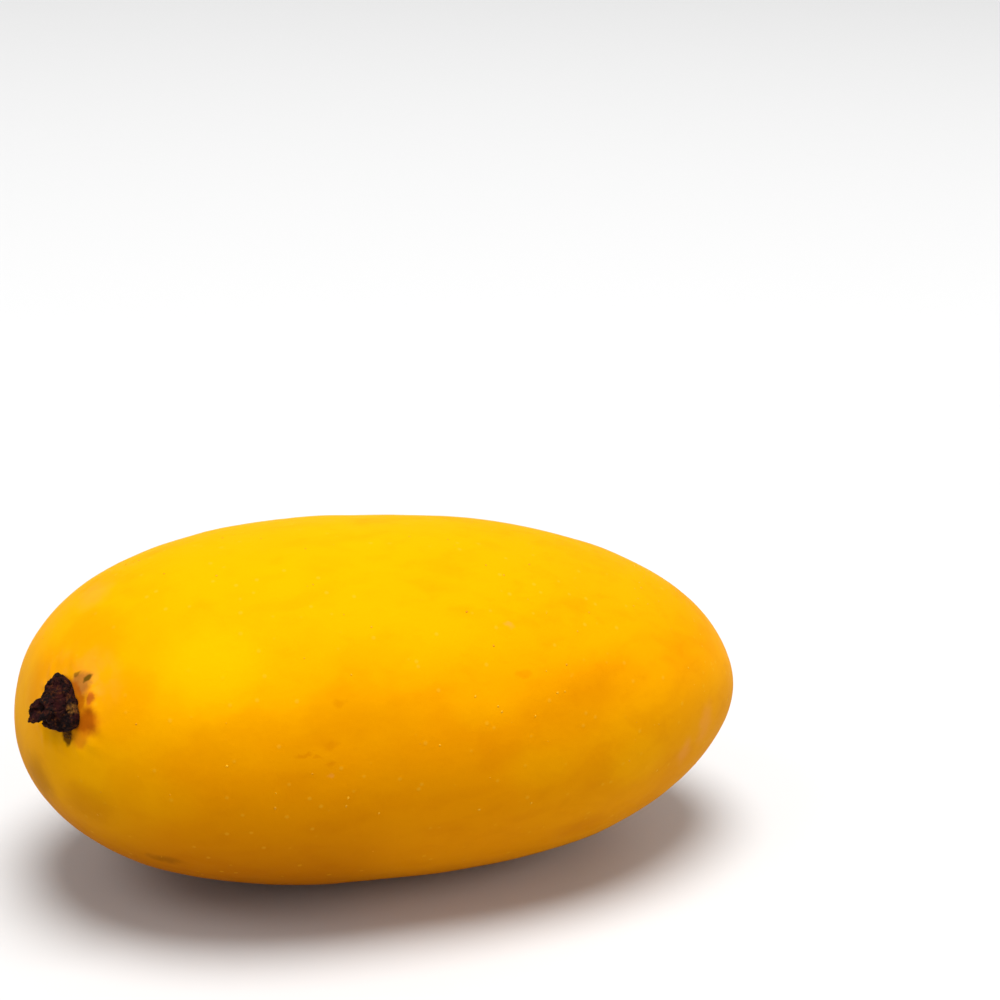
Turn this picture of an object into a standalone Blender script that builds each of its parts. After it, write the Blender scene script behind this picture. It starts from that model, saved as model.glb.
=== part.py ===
# A ripe yellow mango lying on its side, with the dried remnant of its stalk.
# Metres, +Z up. +X runs along the fruit from the stem end to the tip.
# The origin is under the middle of the fruit, on the surface that it rests on.
import math

import bmesh
import bpy
from mathutils import Matrix, Vector

MM = 0.001

# Fruit: half sizes of the middle section and half the length between its two ends.
HALF_LENGTH = 65.0 * MM
HALF_WIDTH = 35.2 * MM
HALF_HEIGHT = 31.2 * MM

# How the section shrinks towards each end: 2 is an ellipse, more is blunter.
STEM_BLUNTNESS = 2.43
TIP_BLUNTNESS = 2.37
TAPER = 0.126                # thicker towards the stem end
END_TAPER = 0.05             # the same, felt near the ends only
TIP_FLATTENING = 0.7 * MM    # the tip is drawn in by this much

# The blunt end slants a little: its face looks sideways and up.
SHOULDER_SIDE_SLOPE = -0.11
SHOULDER_UP_SLOPE = 0.02

# The fruit is not straight: it bows like a comma, and its long axis falls to the tip.
SIDE_BOW = -3.0 * MM
TIP_SIDE = 2.35 * MM
TIP_LIFT = 0.35 * MM
AXIS_FALL = -2.35 * MM

# A faint beak at the tip and the soft hollow beside it, by the direction that they face.
BEAK_HEIGHT = 0.75 * MM
BEAK_FACING = Vector((0.985, -0.17, -0.03))
BEAK_SPREAD = 0.30
HOLLOW_DEPTH = 0.9 * MM
HOLLOW_FACING = Vector((0.80, -0.58, -0.15))
HOLLOW_SPREAD = 0.38

# The blunt end is a little flat beside the stalk, again by the direction that it faces.
END_FLAT_DEPTH = 1.1 * MM
END_FLAT_FACING = Vector((-1.0, 0.0, 0.1))
END_FLAT_SPREAD = 0.22

# The stalk grows from the blunt end's near shoulder, off the long axis.
STEM_ALONG = -0.919          # -1 would be the very end
STEM_TURN = math.radians(140.0)

# The low collar of skin round the stalk.
NUB_HEIGHT = 0.7 * MM
NUB_RADIUS = 9.0 * MM

FRUIT_SEGMENTS = 76
FRUIT_RINGS = 46
STEM_CROWDING = 0.45         # rings stand this much closer together round the stalk

REST_SPOT_DEPTH = 0.55 * MM  # how far the fruit's own weight presses its underside flat
REST_CUTTER_SIZE = 60.0 * MM

# The shallow pit that the woody button of the stalk grows from.
PIT_RADIUS = 6.0 * MM
PIT_DEPTH = 1.1 * MM
PIT_SIDES = 40
PIT_CUTTER_HEIGHT = 6.0 * MM
GAP = 0.3 * MM               # clearance between the fruit and the stalk

# Stalk remnant: a lobed woody button with a short broken stub, turned about the stem end's normal.
BUTTON_RADIUS = 4.2 * MM
BUTTON_HEIGHT = 2.4 * MM
STUB_RADIUS = 1.95 * MM
STUB_HEIGHT = 4.7 * MM
STUB_HOLLOW = 0.8 * MM
STUB_SIDES = 44
LEAN_DOWN = 2.6 * MM         # how far the stub's end has bent over, down the fruit
LEAN_SIDE = -1.2 * MM        # and towards the fruit's far side
BREAK_SLANT = 0.22           # the broken end slants by this much

# Waves round the stalk: how many, how high and where the first one starts, in radians.
# The lobes and ridges are shares of the radius, the furrows and the ragged break are heights.
BUTTON_LOBES = (
    (1, 0.070, -1.74), (2, 0.120, -1.37), (3, 0.115, 2.25),
    (5, 0.040, 0.76), (8, 0.025, 2.1), (13, 0.015, 4.0))
STUB_RIDGES = ((3, 0.070, 1.0), (7, 0.050, 2.5))
BUTTON_FURROWS = ((9, 0.20 * MM, 1.3),)
BREAK_TEETH = ((4, 0.28 * MM, 0.8),)

SKIN_COLOUR = (1.0, 0.52, 0.01, 1.0)
SKIN_ROUGHNESS = 0.42
STALK_COLOUR = (0.035, 0.014, 0.012, 1.0)
STALK_ROUGHNESS = 0.8


def clear_scene():
    for old in list(bpy.data.objects):
        bpy.data.objects.remove(old, do_unlink=True)


def new_collection(name):
    collection = bpy.data.collections.new(name)
    bpy.context.scene.collection.children.link(collection)
    return collection


def new_material(name, colour, roughness):
    material = bpy.data.materials.new(name)
    material.use_nodes = True
    shader = material.node_tree.nodes["Principled BSDF"]
    shader.inputs["Base Color"].default_value = colour
    shader.inputs["Roughness"].default_value = roughness
    shader.inputs["Metallic"].default_value = 0.0
    return material


def smooth_step(value, low, high):
    t = min(max((value - low) / (high - low), 0.0), 1.0)
    return t * t * (3.0 - 2.0 * t)


def waves(angle, kinds):
    return sum(height * math.cos(count * angle + start) for count, height, start in kinds)


def swell(along):
    """Radius of the section at along, from -1 to 1, over that of a plain ellipsoid there."""
    bluntness = STEM_BLUNTNESS if along < 0.0 else TIP_BLUNTNESS
    outside = max(1.0 - along * along, 1e-9)
    bulge = max(1.0 - abs(along) ** bluntness, bluntness * 0.5e-9) / outside
    return math.sqrt(bulge * (1.0 - TAPER * along - END_TAPER * along ** 3))


def local_bulge(direction, facing, spread, height):
    """A soft swelling, or a hollow where height is negative, round one direction."""
    away = (direction - facing.normalized()).length / spread
    outward = Vector((facing.x / HALF_LENGTH, facing.y / HALF_WIDTH, facing.z / HALF_HEIGHT))
    return outward.normalized() * height * math.exp(-away * away)


def skin_point(direction):
    """The bare form: where a point of the unit sphere, X along the fruit, lies on the skin."""
    along = min(max(direction.x, -1.0), 1.0)
    side = HALF_WIDTH * swell(along) * direction.y
    up = HALF_HEIGHT * swell(along) * direction.z

    stem_share = along ** 2 if along < 0.0 else 0.0
    tip_share = along ** 3 if along > 0.0 else 0.0
    x = HALF_LENGTH * along - TIP_FLATTENING * tip_share ** 4
    x += stem_share * (SHOULDER_SIDE_SLOPE * side + SHOULDER_UP_SLOPE * up)
    y = side + SIDE_BOW * along ** 2 + TIP_SIDE * tip_share
    z = up + TIP_LIFT * tip_share + AXIS_FALL * along
    point = Vector((x, y, z))
    point += local_bulge(direction, BEAK_FACING, BEAK_SPREAD, BEAK_HEIGHT)
    point += local_bulge(direction, HOLLOW_FACING, HOLLOW_SPREAD, -HOLLOW_DEPTH)
    point += local_bulge(direction, END_FLAT_FACING, END_FLAT_SPREAD, -END_FLAT_DEPTH)
    return point


def stem_direction():
    across = math.sqrt(1.0 - STEM_ALONG ** 2)
    return Vector((STEM_ALONG, across * math.cos(STEM_TURN), across * math.sin(STEM_TURN)))


def stem_frame():
    """Local axes at the stalk: Z out of the fruit, X down the shoulder, origin on the bare skin."""
    centre = stem_direction()
    step = 0.01
    first = centre.orthogonal().normalized() * step
    second = centre.cross(first)
    tangents = [
        skin_point((centre + turn).normalized()) - skin_point((centre - turn).normalized())
        for turn in (first, second)]
    outward = tangents[0].cross(tangents[1]).normalized()
    down = Vector((0.0, 0.0, -1.0))
    down = (down - down.dot(outward) * outward).normalized()
    frame = Matrix((down, outward.cross(down), outward)).transposed().to_4x4()
    frame.translation = skin_point(centre)
    return frame


def add_object(name, bm, collection, parent):
    """Turn a bmesh into a named object on the common origin, and free it."""
    mesh = bpy.data.meshes.new(name)
    bm.to_mesh(mesh)
    bm.free()
    made = bpy.data.objects.new(name, mesh)
    collection.objects.link(made)
    made.parent = parent
    return made


def finish_piece(piece, material):
    piece.data.shade_smooth()
    piece.data.materials.append(material)
    return piece


def make_fruit(collection, parent, stem):
    """A sphere with a pole at the stalk, drawn out into the fruit by skin_point."""
    bm = bmesh.new()
    bmesh.ops.create_uvsphere(bm, u_segments=FRUIT_SEGMENTS, v_segments=FRUIT_RINGS, radius=1.0)
    to_stem = Vector((0.0, 0.0, 1.0)).rotation_difference(stem_direction())
    outward = stem.col[2].to_3d()
    for vert in bm.verts:
        polar = math.acos(min(max(vert.co.z, -1.0), 1.0))
        polar -= STEM_CROWDING * math.sin(polar)
        turn = math.atan2(vert.co.y, vert.co.x)
        flat = math.sin(polar)
        direction = to_stem @ Vector((flat * math.cos(turn), flat * math.sin(turn), math.cos(polar)))
        point = skin_point(direction)
        away = (point - stem.translation).length / NUB_RADIUS
        vert.co = point + outward * NUB_HEIGHT * math.exp(-away * away)
    fruit = add_object("fruit", bm, collection, parent)
    return finish_piece(fruit, new_material("mango_skin", SKIN_COLOUR, SKIN_ROUGHNESS))


def cut_away(target, cutter, name):
    cutter.hide_render = True
    cutter.display_type = "WIRE"
    cut = target.modifiers.new(name, "BOOLEAN")
    cut.operation = "DIFFERENCE"
    cut.solver = "EXACT"
    cut.object = cutter


def make_pit_cutter(collection, parent, stalk):
    """A round plug, a little wider than the button of the stalk."""
    bm = bmesh.new()
    bmesh.ops.create_cone(
        bm, cap_ends=True, segments=PIT_SIDES,
        radius1=PIT_RADIUS, radius2=PIT_RADIUS, depth=PIT_CUTTER_HEIGHT)
    bmesh.ops.translate(bm, verts=bm.verts, vec=(0.0, 0.0, PIT_CUTTER_HEIGHT / 2.0 - PIT_DEPTH))
    bmesh.ops.transform(bm, verts=bm.verts, matrix=stalk)
    return add_object("pit_cutter", bm, collection, parent)


def make_rest_cutter(collection, parent, rest_height):
    """A block whose top face is the surface that the fruit rests on."""
    bm = bmesh.new()
    bmesh.ops.create_cube(bm, size=REST_CUTTER_SIZE)
    bmesh.ops.translate(bm, verts=bm.verts, vec=(0.0, 0.0, rest_height - REST_CUTTER_SIZE / 2.0))
    return add_object("rest_cutter", bm, collection, parent)


def stub_profile():
    """Radius and height above the button's base, from the hollow end down the outer side."""
    foot = BUTTON_HEIGHT
    return [
        (0.0, STUB_HEIGHT - STUB_HOLLOW),
        (0.42 * STUB_RADIUS, STUB_HEIGHT - 0.8 * STUB_HOLLOW),
        (0.72 * STUB_RADIUS, STUB_HEIGHT - 0.1 * STUB_HOLLOW),
        (0.92 * STUB_RADIUS, STUB_HEIGHT),
        (1.06 * STUB_RADIUS, STUB_HEIGHT - 0.5 * MM),
        (1.00 * STUB_RADIUS, STUB_HEIGHT - 1.2 * MM),
        (1.06 * STUB_RADIUS, foot + 0.9 * MM),
        (1.40 * STUB_RADIUS, foot + 0.3 * MM),
        (0.70 * BUTTON_RADIUS, foot),
        (0.86 * BUTTON_RADIUS, foot - 0.05 * MM),
        (0.97 * BUTTON_RADIUS, foot - 0.5 * MM),
        (BUTTON_RADIUS, foot - 1.2 * MM),
        (0.97 * BUTTON_RADIUS, 0.5 * MM),
        (0.90 * BUTTON_RADIUS, 0.0),
        (0.45 * BUTTON_RADIUS, 0.0),
        (0.0, 0.0),
    ]


def turned_bmesh(profile, sides):
    """A profile turned a full circle about Z by a Screw modifier, as a bmesh."""
    edges = [(i, i + 1) for i in range(len(profile) - 1)]
    line = bpy.data.meshes.new("profile")
    line.from_pydata([(radius, 0.0, height) for radius, height in profile], edges, [])
    turned = bpy.data.objects.new("profile", line)
    bpy.context.scene.collection.objects.link(turned)
    screw = turned.modifiers.new("turn", "SCREW")
    screw.steps = sides
    screw.render_steps = sides
    screw.use_merge_vertices = True
    screw.merge_threshold = 0.01 * MM
    graph = bpy.context.evaluated_depsgraph_get()
    mesh = bpy.data.meshes.new_from_object(turned.evaluated_get(graph))
    bpy.data.objects.remove(turned, do_unlink=True)
    bm = bmesh.new()
    bm.from_mesh(mesh)
    bpy.data.meshes.remove(mesh)
    return bm


def weathered(point):
    """Lobes on the button's rim, ridges on the stub, its lean and its slanting break."""
    radius = math.hypot(point.x, point.y)
    angle = math.atan2(point.y, point.x)
    on_button = smooth_step(radius, 1.2 * STUB_RADIUS, 0.9 * BUTTON_RADIUS)
    on_stub = smooth_step(point.z, BUTTON_HEIGHT, BUTTON_HEIGHT + 1.0 * MM)

    scale = 1.0 + waves(angle, BUTTON_LOBES) * on_button + waves(angle, STUB_RIDGES) * on_stub

    on_top = smooth_step(point.z, 0.5 * BUTTON_HEIGHT, BUTTON_HEIGHT)
    furrows = waves(angle, BUTTON_FURROWS) * on_button * on_top
    bend = smooth_step(point.z, BUTTON_HEIGHT - 0.5 * MM, STUB_HEIGHT + 2.0 * MM)
    at_break = smooth_step(point.z, STUB_HEIGHT - 2.0 * MM, STUB_HEIGHT - 0.5 * MM)
    ragged = BREAK_SLANT * point.x + waves(angle, BREAK_TEETH) * radius / STUB_RADIUS
    return Vector((
        point.x * scale + LEAN_DOWN * bend,
        point.y * scale + LEAN_SIDE * bend,
        point.z + furrows + ragged * at_break))


def make_stem_stub(collection, parent, stalk):
    """The woody button stands in the pit, GAP above its floor."""
    bm = turned_bmesh(stub_profile(), STUB_SIDES)
    for vert in bm.verts:
        vert.co = weathered(vert.co)
    bmesh.ops.translate(bm, verts=bm.verts, vec=(0.0, 0.0, GAP - PIT_DEPTH))
    bmesh.ops.transform(bm, verts=bm.verts, matrix=stalk)
    stub = add_object("stem_stub", bm, collection, parent)
    return finish_piece(stub, new_material("dried_stalk", STALK_COLOUR, STALK_ROUGHNESS))


def bottom_centre(pieces, rest_height):
    """Middle of the pieces' box, at the height that they rest at."""
    points = [vert.co for piece in pieces for vert in piece.data.vertices]
    low = [min(point[axis] for point in points) for axis in range(2)]
    high = [max(point[axis] for point in points) for axis in range(2)]
    return Vector(((low[0] + high[0]) / 2.0, (low[1] + high[1]) / 2.0, rest_height))


def main():
    clear_scene()
    parts = new_collection("mango")
    cutters = new_collection("cutters")

    origin = bpy.data.objects.new("mango_origin", None)
    parts.objects.link(origin)

    stem = stem_frame()
    stalk = stem @ Matrix.Translation((0.0, 0.0, NUB_HEIGHT))
    fruit = make_fruit(parts, origin, stem)
    stem_stub = make_stem_stub(parts, origin, stalk)
    rest_height = min(vert.co.z for vert in fruit.data.vertices) + REST_SPOT_DEPTH

    cut_away(fruit, make_pit_cutter(cutters, origin, stalk), "stalk_pit")
    cut_away(fruit, make_rest_cutter(cutters, origin, rest_height), "rest_spot")
    origin.location = -bottom_centre((fruit, stem_stub), rest_height)


main()
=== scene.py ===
# A ripe mango lying on a pale table top. The skin, the dried stalk, its crumbs and the specks of the
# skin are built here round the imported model, then the table, the lights and the camera.
import math
import bmesh
import bpy
from mathutils import Matrix, Vector, noise


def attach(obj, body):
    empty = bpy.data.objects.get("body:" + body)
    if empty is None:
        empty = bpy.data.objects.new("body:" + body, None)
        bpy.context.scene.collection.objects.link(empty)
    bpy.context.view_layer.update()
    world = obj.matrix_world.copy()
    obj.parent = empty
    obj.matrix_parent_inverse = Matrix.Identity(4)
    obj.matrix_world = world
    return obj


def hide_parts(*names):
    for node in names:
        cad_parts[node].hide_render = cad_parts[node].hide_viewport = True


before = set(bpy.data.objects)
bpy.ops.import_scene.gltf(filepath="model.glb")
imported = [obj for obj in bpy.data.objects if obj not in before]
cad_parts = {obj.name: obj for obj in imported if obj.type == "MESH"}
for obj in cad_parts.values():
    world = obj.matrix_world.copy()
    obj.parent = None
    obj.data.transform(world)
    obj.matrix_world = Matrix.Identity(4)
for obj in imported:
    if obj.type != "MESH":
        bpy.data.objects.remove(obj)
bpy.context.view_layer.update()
mm = 0.001

# The fruit's own form, by the rule that the solid follows. It lies along X, with the stalk at -X.
mangoShape = {
    "middle": Vector((-0.12, 0.06, 30.64)) * mm,     # of the form, in the row frame
    "halfLength": 65.0 * mm,
    "halfWidth": 35.2 * mm,
    "halfHeight": 31.2 * mm,
    "stemBluntness": 2.43,                           # 2 gives an ellipse, more is blunter
    "tipBluntness": 2.37,
    "taper": 0.126,                                  # the tip's half is slimmer than the stalk's
    "endTaper": 0.05,
    "tipFlattening": 0.7 * mm,
    "shoulderSideSlope": -0.11,                      # the stalk's shoulder stands askew
    "shoulderUpSlope": 0.02,
    "sideBow": -3.0 * mm,                            # the long axis bends like a comma
    "tipSide": 2.35 * mm,
    "tipLift": 0.35 * mm,
    "axisFall": -2.35 * mm,                          # the tip lies lower than the stalk's end
    "beakHeight": 0.75 * mm,
    "beakFacing": Vector((0.985, -0.17, -0.03)),
    "beakSpread": 0.30,
    "hollowDepth": 0.9 * mm,
    "hollowFacing": Vector((0.80, -0.58, -0.15)),
    "hollowSpread": 0.38,
    "stemAlong": -0.919,                             # the stalk's place, as a direction
    "stemTurn": math.radians(140.0),
    "nubHeight": 0.7 * mm,                           # the skin swells a little at the stalk
    "nubRadius": 9.0 * mm,
    "endFlatDepth": 1.1 * mm,                        # the blunt end is a little flat beside the stalk
    "endFlatFacing": Vector((-1.0, 0.0, 0.1)),
    "endFlatSpread": 0.22,
}


def smoothStep(value, start, end):
    share = min(max((value - start) / (end - start), 0.0), 1.0)
    return share * share * (3.0 - 2.0 * share)


def swell(along):
    # how wide the fruit is at a place along it, as a share of a round ball's width there
    bluntness = mangoShape["stemBluntness"] if along < 0.0 else mangoShape["tipBluntness"]
    outside = max(1.0 - along * along, 1e-9)
    bulge = max(1.0 - abs(along) ** bluntness, bluntness * 0.5e-9) / outside
    slimming = 1.0 - mangoShape["taper"] * along - mangoShape["endTaper"] * along ** 3
    return math.sqrt(bulge * slimming)


def localBulge(direction, facing, spread, height):
    away = (direction - facing.normalized()).length / spread
    outward = Vector((facing.x / mangoShape["halfLength"],
                      facing.y / mangoShape["halfWidth"],
                      facing.z / mangoShape["halfHeight"]))
    return outward.normalized() * height * math.exp(-away * away)


def skinPoint(direction):
    # the point of the form that a direction from the middle leads to
    along = min(max(direction.x, -1.0), 1.0)
    side = mangoShape["halfWidth"] * swell(along) * direction.y
    up = mangoShape["halfHeight"] * swell(along) * direction.z
    stemShare = along * along if along < 0.0 else 0.0
    tipShare = along ** 3 if along > 0.0 else 0.0
    slope = mangoShape["shoulderSideSlope"] * side + mangoShape["shoulderUpSlope"] * up
    point = Vector((
        mangoShape["halfLength"] * along - mangoShape["tipFlattening"] * tipShare ** 4 + stemShare * slope,
        side + mangoShape["sideBow"] * along ** 2 + mangoShape["tipSide"] * tipShare,
        up + mangoShape["tipLift"] * tipShare + mangoShape["axisFall"] * along))
    point += localBulge(direction, mangoShape["beakFacing"], mangoShape["beakSpread"],
                        mangoShape["beakHeight"])
    point += localBulge(direction, mangoShape["hollowFacing"], mangoShape["hollowSpread"],
                        -mangoShape["hollowDepth"])
    point += localBulge(direction, mangoShape["endFlatFacing"], mangoShape["endFlatSpread"],
                        -mangoShape["endFlatDepth"])
    return point + mangoShape["middle"]


def stalkDirection():
    across = math.sqrt(1.0 - mangoShape["stemAlong"] ** 2)
    return Vector((mangoShape["stemAlong"],
                   across * math.cos(mangoShape["stemTurn"]),
                   across * math.sin(mangoShape["stemTurn"])))


def makeStalkPlace():
    # a frame at the stalk: X runs down over the skin, Y to the tip's side, Z straight out
    step = 0.01
    facing = stalkDirection()
    first = facing.orthogonal().normalized()
    second = facing.cross(first)
    slopes = []
    for way in (first, second):
        ahead = skinPoint((facing + way * step).normalized())
        slopes.append(ahead - skinPoint((facing - way * step).normalized()))
    outward = slopes[0].cross(slopes[1]).normalized()
    if outward.dot(facing) < 0.0:
        outward = -outward
    down = Vector((0.0, 0.0, -1.0))
    down = (down - outward * down.dot(outward)).normalized()
    side = outward.cross(down)
    place = Matrix((down, side, outward)).transposed().to_4x4()
    place.translation = skinPoint(facing) + outward * mangoShape["nubHeight"]
    return place


stalkPlace = makeStalkPlace()
print("stalk stands at", [round(value / mm, 1) for value in stalkPlace.translation])


# Materials: a few short helpers, then one function for each finish.

def screenColour(red, green, blue):
    # a colour as a screen shows it, 0 to 255, as the linear values that nodes take
    linear = []
    for channel in (red, green, blue):
        share = channel / 255.0
        linear.append(share / 12.92 if share <= 0.04045 else ((share + 0.055) / 1.055) ** 2.4)
    return (*linear, 1.0)


def addNode(tree, kind, feeds=None, **options):
    # adds a node, sets its options, and feeds its sockets with a value or another node's socket
    node = tree.nodes.new(kind)
    for option, value in options.items():
        setattr(node, option, value)
    for name, value in (feeds or {}).items():
        if isinstance(value, bpy.types.NodeSocket):
            tree.links.new(value, node.inputs[name])
        else:
            node.inputs[name].default_value = value
    return node


def calculate(tree, operation, first, second=0.0, clamp=False):
    node = addNode(tree, "ShaderNodeMath", {0: first, 1: second}, operation=operation, use_clamp=clamp)
    return node.outputs[0]


def fade(tree, value, start, end, low=0.0, high=1.0):
    # low before start, high after end, and a smooth change between
    node = addNode(tree, "ShaderNodeMapRange", {0: value, 1: start, 2: end, 3: low, 4: high},
                   interpolation_type="SMOOTHSTEP", clamp=True)
    return node.outputs[0]


def blendColours(tree, share, first, second, way="MIX"):
    node = addNode(tree, "ShaderNodeMix", {0: share, 6: first, 7: second},
                   data_type="RGBA", blend_type=way, clamp_factor=True)
    return node.outputs[2]


def cloudy(tree, place, size, detail=3.0, roughness=0.5, distortion=0.0):
    # noise whose lumps are about size apart
    node = addNode(tree, "ShaderNodeTexNoise",
                   {"Vector": place, "Scale": 1.0 / size, "Detail": detail, "Roughness": roughness,
                    "Distortion": distortion})
    return node.outputs["Fac"]


def dots(tree, place, spacing, spread=1.0):
    # distance to the nearest of scattered points, as a share of their spacing
    node = addNode(tree, "ShaderNodeTexVoronoi",
                   {"Vector": place, "Scale": 1.0 / spacing, "Randomness": spread}, feature="F1")
    return node.outputs["Distance"]


def softMark(tree, place, centre, sizes, core=0.25):
    # 1 at the centre, 0 outside an ellipsoid of these half sizes, and all 1 in the core's share of it
    offset = addNode(tree, "ShaderNodeVectorMath", {0: place, 1: centre}, operation="SUBTRACT")
    scaled = addNode(tree, "ShaderNodeVectorMath", {0: offset.outputs[0], 1: sizes}, operation="DIVIDE")
    distance = addNode(tree, "ShaderNodeVectorMath", {0: scaled.outputs[0]}, operation="LENGTH")
    return fade(tree, distance.outputs["Value"], core, 1.0, 1.0, 0.0)


def wobbled(tree, place, size, amount):
    # the same place, pushed about a little, so that the edges of marks are uneven
    lumps = addNode(tree, "ShaderNodeTexNoise", {"Vector": place, "Scale": 1.0 / size, "Detail": 3.0})
    push = addNode(tree, "ShaderNodeVectorMath", {0: lumps.outputs["Color"], 1: (0.5, 0.5, 0.5)},
                   operation="SUBTRACT")
    push = addNode(tree, "ShaderNodeVectorMath", {0: push.outputs[0], "Scale": amount}, operation="SCALE")
    return addNode(tree, "ShaderNodeVectorMath", {0: place, 1: push.outputs[0]},
                   operation="ADD").outputs[0]


def seenFromStalk(tree, place):
    # places in the stalk's own frame: X down over the skin, Y to the tip's side, Z outwards
    return addNode(tree, "ShaderNodeMapping",
                   {"Vector": place, "Location": stalkPlace.translation,
                    "Rotation": stalkPlace.to_euler()}, vector_type="TEXTURE").outputs[0]


def bumpFrom(tree, height, distance, strength=1.0, before=None):
    feeds = {"Height": height, "Distance": distance, "Strength": strength}
    if before is not None:
        feeds["Normal"] = before
    return addNode(tree, "ShaderNodeBump", feeds).outputs["Normal"]


def newMaterial(name):
    material = bpy.data.materials.new(name)
    material.use_nodes = True
    tree = material.node_tree
    tree.nodes.clear()
    shader = tree.nodes.new("ShaderNodeBsdfPrincipled")
    output = tree.nodes.new("ShaderNodeOutputMaterial")
    tree.links.new(shader.outputs[0], output.inputs["Surface"])
    return material, tree, shader


peelLook = {
    "golden": screenColour(231, 161, 0),
    # painted light: a paler yellow for a pool of light on the upper stalk's half
    "paintedLight": screenColour(236, 172, 0),
    "orange": screenColour(221, 140, 0),
    # ochre: partly the deeper skin underneath, partly painted shade there and low on the stalk's end
    "ochre": screenColour(173, 99, 0),
    "cloud": (0.86, 0.74, 0.60, 1.0),                # multiplies the colour under it
    # painted sheen: a pale pink haze round the stalk
    "paleDot": screenColour(228, 172, 44),
    "haze": screenColour(232, 154, 52),
    # pale pink, for specks on the skin and for painted sheen near the tip
    "pink": screenColour(226, 146, 66),
    # brown, for a bruise low on the fruit and for painted shade on the lower edge of the stalk's end
    "bruiseAndEdgeShade": screenColour(126, 74, 6),
    "stain": screenColour(168, 82, 6),
    "stainEdge": screenColour(202, 116, 10),
    "stainRed": screenColour(172, 74, 24),
    "scab": screenColour(158, 92, 42),
    "fleck": screenColour(96, 68, 10),
    "sap": screenColour(58, 24, 8),
    # each pair is where a change starts and where it is complete, along the fruit or above the table
    "orangeHeights": (54.0 * mm, 36.0 * mm),
    "orangeTilt": 0.10,                              # the orange reaches higher towards the tip
    "stalkEndEven": (-56.0 * mm, -40.0 * mm),        # golden all the way down before it
    "tipEndEven": (0.0, 40.0 * mm),
    "tipOrange": (-10.0 * mm, 45.0 * mm),
    "tipOrangeShare": 0.36,
    # the ochre underneath is partly painted shade, less of it towards the tip
    "ochreHeights": (36.0 * mm, 8.0 * mm),
    "ochreFading": (-20.0 * mm, 2.0 * mm),
    "ochreAtTip": 0.34,
    "blotchSize": 26.0 * mm,
    "blotchStrength": 0.7,
    "stretch": (0.6, 1.0, 1.0),                      # mottling and patches are drawn out along the fruit
    "mottleSize": 3.4 * mm,
    "mottleEdges": (0.46, 0.74),                     # the noise values where it starts and is whole
    "mottleAlong": (-30.0 * mm, 40.0 * mm),
    "mottleStrengths": (0.14, 0.30),                 # on the stalk's side and on the tip's
    "patchSize": 8.0 * mm,
    "patchEdges": (0.50, 0.68),
    "patchStrength": 0.24,
    "dotSpacing": 3.1 * mm,
    "dotEdges": (0.16, 0.06),                        # of their colour, as shares of the spacing
    "dotStrength": 0.28,
    "dotBumpEdges": (0.20, 0.05),
    "dotHeight": 0.02 * mm,
    "wobbleSize": 2.6 * mm,                          # how the edges of marks wander, and how far
    "wobble": 2.8 * mm,
    "hazePlace": (-3.0 * mm, 2.0 * mm, 0.0),         # in the stalk's frame
    "hazeRadius": 10.0 * mm,
    "hazePatches": 6.0 * mm,
    "hazeEdges": (0.42, 0.62),
    "hazeStrengths": (0.1, 0.6),
    "markDepth": 9.0,                                # of the marks round the stalk, in mm
    "rimPlace": (-0.2 * mm, 0.2 * mm, 0.0),          # of the brown rim under the button
    "rimSizes": (5.0 * mm, 4.6 * mm, 9.0 * mm),
    "rimStrength": 0.8,
    "roughness": 0.52,
    "specular": 0.012,
    "specularTint": (1.0, 0.70, 0.06, 1.0),
    "poreSize": 0.95 * mm,
    "poreDepth": 0.035 * mm,
    "grainSize": 0.35 * mm,
    "grainDepth": 0.008 * mm,
}
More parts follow.
